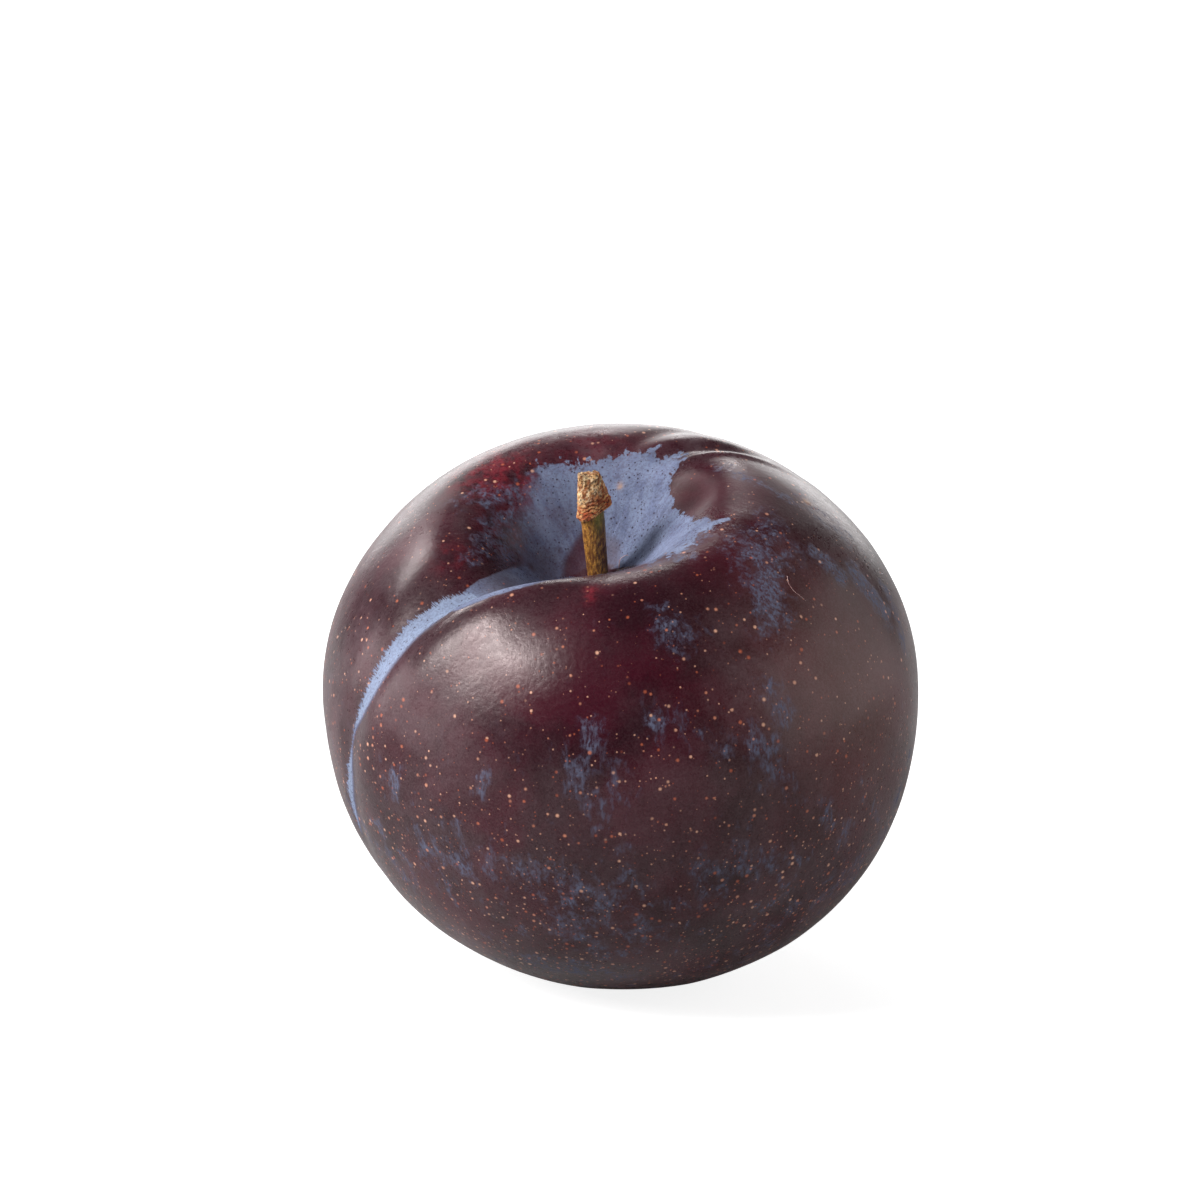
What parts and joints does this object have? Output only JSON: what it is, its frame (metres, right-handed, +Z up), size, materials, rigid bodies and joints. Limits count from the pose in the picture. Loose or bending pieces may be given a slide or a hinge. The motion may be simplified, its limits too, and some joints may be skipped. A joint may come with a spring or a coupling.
{
  "type": "plum",
  "caption": "Whole dark plum with its short woody stalk, resting on a small flat spot, with a stalk hollow and a curling seam.",
  "frame": {"origin": "centre of the small flat spot that the fruit rests on", "axes": "+Z up from the resting surface; -Y is the front, which the stalk hollow leans towards; +X is to the right seen from the front"},
  "size_m": [0.0599, 0.0602, 0.0536],
  "materials": {
    "plum_skin": "satin waxy fruit skin, deep burgundy to near black, with pale blue bloom and small tan dots",
    "stalk_bark": "rough tan bark on the knob, fibrous green to reddish-brown stem below it"
  },
  "bodies": {
    "root": {"fruit": "plum_skin", "stalk": "stalk_bark"}
  },
  "joints": []
}
